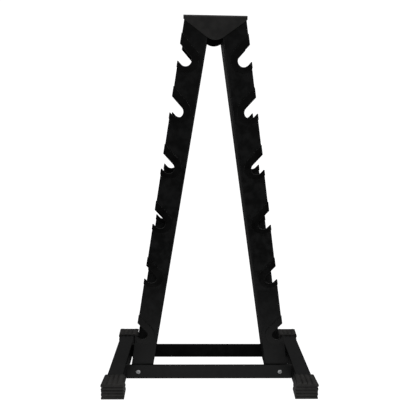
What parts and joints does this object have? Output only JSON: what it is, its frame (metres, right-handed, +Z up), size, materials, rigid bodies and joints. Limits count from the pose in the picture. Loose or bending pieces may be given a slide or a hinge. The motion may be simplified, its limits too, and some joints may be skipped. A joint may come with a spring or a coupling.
{
  "type": "dumbbell rack",
  "caption": "A-frame dumbbell rack: two leaning folded-steel uprights with lined slots on both sides, a folded top cap, and a tube-and-rail base on ribbed foot caps.",
  "frame": {"origin": "on the floor, at the middle of the base", "axes": "+Z up, +Y from the front rail to the rear rail, +X to the right seen from the front"},
  "size_m": [0.658, 0.319, 1.1035],
  "materials": {
    "frame": "satin black powder coat with a fine texture",
    "liner_plastic": "black moulded plastic, smooth and slightly shiny",
    "foot_plastic": "black moulded plastic, matt",
    "zinc": "bright zinc plate"
  },
  "bodies": {
    "root": {"upright_left": "frame", "upright_right": "frame", "top_cap": "frame", "front_rail": "frame", "rear_rail": "frame", "side_tube_left": "frame", "side_tube_right": "frame", "foot_cap_front_left": "foot_plastic", "foot_cap_front_right": "foot_plastic", "foot_cap_rear_left": "foot_plastic", "foot_cap_rear_right": "foot_plastic", "liner_left_front_1": "liner_plastic", "liner_left_front_2": "liner_plastic", "liner_left_front_3": "liner_plastic", "liner_left_front_4": "liner_plastic", "liner_left_front_5": "liner_plastic", "liner_left_front_6": "liner_plastic", "liner_left_rear_1": "liner_plastic", "liner_left_rear_2": "liner_plastic", "liner_left_rear_3": "liner_plastic", "liner_left_rear_4": "liner_plastic", "liner_left_rear_5": "liner_plastic", "liner_left_rear_6": "liner_plastic", "liner_right_front_1": "liner_plastic", "liner_right_front_2": "liner_plastic", "liner_right_front_3": "liner_plastic", "liner_right_front_4": "liner_plastic", "liner_right_front_5": "liner_plastic", "liner_right_front_6": "liner_plastic", "liner_right_rear_1": "liner_plastic", "liner_right_rear_2": "liner_plastic", "liner_right_rear_3": "liner_plastic", "liner_right_rear_4": "liner_plastic", "liner_right_rear_5": "liner_plastic", "liner_right_rear_6": "liner_plastic", "bolt_front_left": "zinc", "bolt_front_right": "zinc", "bolt_rear_left": "zinc", "bolt_rear_right": "zinc", "washer_front_left": "zinc", "washer_front_right": "zinc", "washer_rear_left": "zinc", "washer_rear_right": "zinc", "nut_front_left": "zinc", "nut_front_right": "zinc", "nut_rear_left": "zinc", "nut_rear_right": "zinc"}
  },
  "joints": []
}
